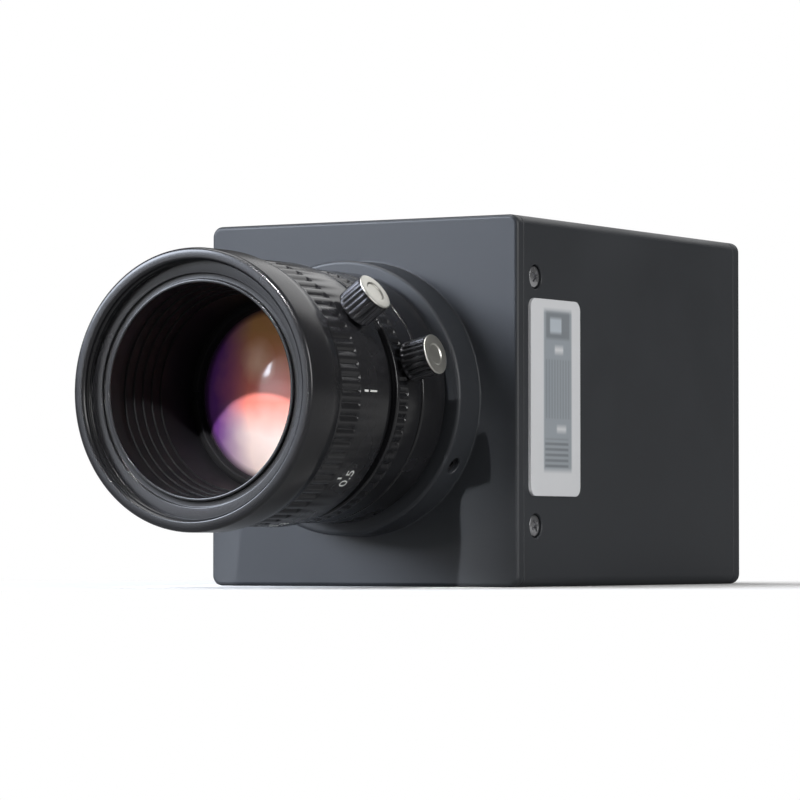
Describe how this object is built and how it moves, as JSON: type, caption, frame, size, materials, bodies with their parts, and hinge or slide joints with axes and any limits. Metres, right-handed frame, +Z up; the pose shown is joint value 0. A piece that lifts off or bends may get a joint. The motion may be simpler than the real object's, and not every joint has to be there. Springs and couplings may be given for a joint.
{
  "type": "machine vision camera",
  "caption": "Square box camera body with a fixed-focal C-mount lens that has a focus ring, an iris ring and lock screws, and round sockets at the rear.",
  "frame": {"origin": "centre of the tripod thread's mouth, in the plane of the base", "axes": "+Z up, -Y the way the lens looks, +X the side with the white plate"},
  "size_m": [0.0444, 0.1085, 0.045],
  "materials": {
    "body_black": "matt charcoal anodised",
    "lens_black": "satin black anodised",
    "flat_black": "matt black, light-absorbing",
    "bright_steel": "plain machined",
    "dark_steel": "blackened",
    "plate_white": "satin film with grey print fields",
    "coated_glass": "polished, antireflection coated",
    "clear_glass": "polished",
    "rubber_black": "matt",
    "board_green": "solder-resist green",
    "chip_black": "moulded",
    "ceramic_grey": "fired",
    "brass_bright": "machined",
    "nickel": "nickel plated",
    "insert_black": "moulded",
    "light_pipe": "clear moulded"
  },
  "bodies": {
    "camera": {"front_block": "body_black", "housing": "body_black", "rear_cover": "body_black", "front_gasket": "rubber_black", "rear_gasket": "rubber_black", "rear_cover_screws": "dark_steel", "side_screws": "bright_steel", "side_plate": "plate_white", "tripod_insert": "bright_steel", "mount_ring": "nickel", "mount_ring_screws": "dark_steel", "sensor_window": "clear_glass", "window_seal": "rubber_black", "image_sensor": "ceramic_grey", "sensor_glass": "clear_glass", "sensor_board": "board_green", "processor_board": "board_green", "io_board": "board_green", "sensor_standoffs": "brass_bright", "board_standoffs": "brass_bright", "board_screws": "bright_steel", "stack_plugs": "chip_black", "processor_chip": "chip_black", "memory_chips": "chip_black", "power_connector_shell": "nickel", "power_connector_insert": "insert_black", "power_connector_pins": "brass_bright", "network_connector_shell": "nickel", "network_connector_insert": "insert_black", "network_connector_contacts": "brass_bright", "connector_nuts": "nickel", "status_light_pipes": "light_pipe", "status_leds": "ceramic_grey", "mount_barrel": "lens_black", "barrel_collar": "lens_black", "guide_pin": "bright_steel"},
    "focus_ring": {"focus_ring": "lens_black"},
    "focus_lock": {"focus_lock_screw": "dark_steel"},
    "front_barrel": {"front_barrel": "lens_black", "front_element": "coated_glass", "front_retainer": "flat_black", "second_cell": "flat_black", "second_element": "coated_glass", "rear_cell": "flat_black", "doublet_front": "clear_glass", "doublet_back": "clear_glass", "rear_element": "clear_glass", "rear_retainer": "flat_black", "iris_base": "flat_black"},
    "iris_ring": {"iris_ring": "lens_black", "iris_link_pin": "bright_steel"},
    "iris_lock": {"iris_lock_screw": "dark_steel"},
    "iris_cam": {"iris_cam_ring": "flat_black"},
    "iris_blade_1": {"iris_blade_1": "flat_black"},
    "iris_blade_2": {"iris_blade_2": "flat_black"},
    "iris_blade_3": {"iris_blade_3": "flat_black"},
    "iris_blade_4": {"iris_blade_4": "flat_black"},
    "iris_blade_5": {"iris_blade_5": "flat_black"},
    "iris_blade_6": {"iris_blade_6": "flat_black"}
  },
  "joints": [
    {"name": "focus_turn", "type": "hinge", "parent": "camera", "child": "focus_ring", "pos_m": [0, -0.0485, 0.023], "axis": [0, -1, 0], "range_deg": [0, 150]},
    {"name": "focus_slide", "type": "slide", "parent": "camera", "child": "front_barrel", "axis": [0, -1, 0], "range_m": [0, 0.003]},
    {"name": "focus_lock_turn", "type": "hinge", "parent": "focus_ring", "child": "focus_lock", "pos_m": [0.01474, -0.0469, 0.03332], "axis": [0.8192, 0, 0.5736], "range_deg": [0, 360]},
    {"name": "iris_turn", "type": "hinge", "parent": "camera", "child": "iris_ring", "pos_m": [0, -0.0376, 0.023], "axis": [0, -1, 0], "range_deg": [0, 48]},
    {"name": "iris_lock_turn", "type": "hinge", "parent": "iris_ring", "child": "iris_lock", "pos_m": [0.01705, -0.0376, 0.02694], "axis": [0.9744, 0, 0.225], "range_deg": [0, 360]},
    {"name": "iris_cam_turn", "type": "hinge", "parent": "front_barrel", "child": "iris_cam", "pos_m": [0, -0.0355, 0.023], "axis": [0, -1, 0], "range_deg": [0, 48]},
    {"name": "iris_blade_1_turn", "type": "hinge", "parent": "front_barrel", "child": "iris_blade_1", "pos_m": [0.0097, -0.0333, 0.023], "axis": [0, -1, 0], "range_deg": [0, 26]},
    {"name": "iris_blade_2_turn", "type": "hinge", "parent": "front_barrel", "child": "iris_blade_2", "pos_m": [0.00485, -0.0333, 0.0314], "axis": [0, -1, 0], "range_deg": [0, 26]},
    {"name": "iris_blade_3_turn", "type": "hinge", "parent": "front_barrel", "child": "iris_blade_3", "pos_m": [-0.00485, -0.0333, 0.0314], "axis": [0, -1, 0], "range_deg": [0, 26]},
    {"name": "iris_blade_4_turn", "type": "hinge", "parent": "front_barrel", "child": "iris_blade_4", "pos_m": [-0.0097, -0.0333, 0.023], "axis": [0, -1, 0], "range_deg": [0, 26]},
    {"name": "iris_blade_5_turn", "type": "hinge", "parent": "front_barrel", "child": "iris_blade_5", "pos_m": [-0.00485, -0.0333, 0.0146], "axis": [0, -1, 0], "range_deg": [0, 26]},
    {"name": "iris_blade_6_turn", "type": "hinge", "parent": "front_barrel", "child": "iris_blade_6", "pos_m": [0.00485, -0.0333, 0.0146], "axis": [0, -1, 0], "range_deg": [0, 26]}
  ],
  "couplings": [
    {"joint": "focus_turn", "follows": "focus_slide", "rad_per_m": 872.66},
    {"joint": "iris_cam_turn", "follows": "iris_turn", "ratio": 1},
    {"joint": "iris_blade_1_turn", "follows": "iris_turn", "ratio": 0.54167},
    {"joint": "iris_blade_2_turn", "follows": "iris_turn", "ratio": 0.54167},
    {"joint": "iris_blade_3_turn", "follows": "iris_turn", "ratio": 0.54167},
    {"joint": "iris_blade_4_turn", "follows": "iris_turn", "ratio": 0.54167},
    {"joint": "iris_blade_5_turn", "follows": "iris_turn", "ratio": 0.54167},
    {"joint": "iris_blade_6_turn", "follows": "iris_turn", "ratio": 0.54167}
  ]
}
